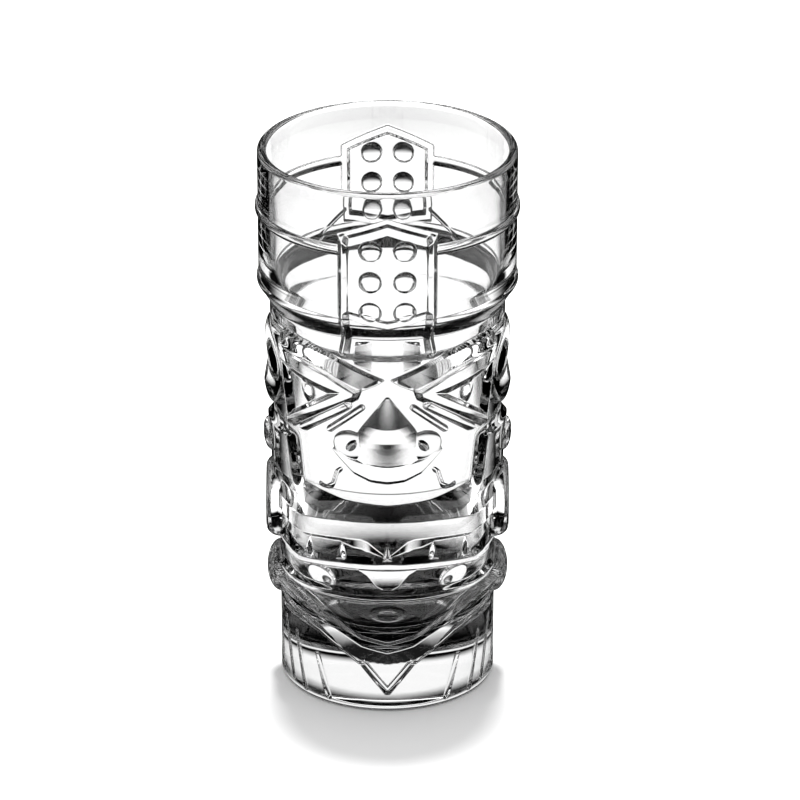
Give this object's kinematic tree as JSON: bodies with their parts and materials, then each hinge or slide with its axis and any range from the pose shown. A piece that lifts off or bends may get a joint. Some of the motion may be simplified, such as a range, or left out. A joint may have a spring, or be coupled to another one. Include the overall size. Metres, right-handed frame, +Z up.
{
  "type": "tiki mug",
  "caption": "Tall clear pressed-glass tiki tumbler with a carved mask on the front, an ear column on each side, a beaded headband with crest plates and a thick solid base.",
  "frame": {"origin": "centre of the flat underside of the foot, on the axis of the glass", "axes": "+Z up along the axis of the glass, -Y towards the front mask, +X towards the ear column on the right in a view from the front"},
  "size_m": [0.0738, 0.0756, 0.16],
  "materials": {
    "clear_glass": "clear, fire-polished, colourless"
  },
  "bodies": {
    "root": {"foot": "clear_glass", "cup_wall": "clear_glass", "upper_bead": "clear_glass", "lower_bead": "clear_glass", "headband_roll": "clear_glass", "crest_front": "clear_glass", "crest_back": "clear_glass", "brows": "clear_glass", "eye_frames": "clear_glass", "eyes": "clear_glass", "cheek_bars": "clear_glass", "nose": "clear_glass", "upper_lip": "clear_glass", "teeth": "clear_glass", "lower_lip": "clear_glass", "tongue": "clear_glass", "chin_band": "clear_glass", "collar": "clear_glass", "foot_chevron": "clear_glass", "ear_top_left": "clear_glass", "ear_top_right": "clear_glass", "ear_bead_left": "clear_glass", "ear_bead_right": "clear_glass", "ear_plug_left": "clear_glass", "ear_plug_right": "clear_glass", "ear_lobe_left": "clear_glass", "ear_lobe_right": "clear_glass"}
  },
  "joints": []
}
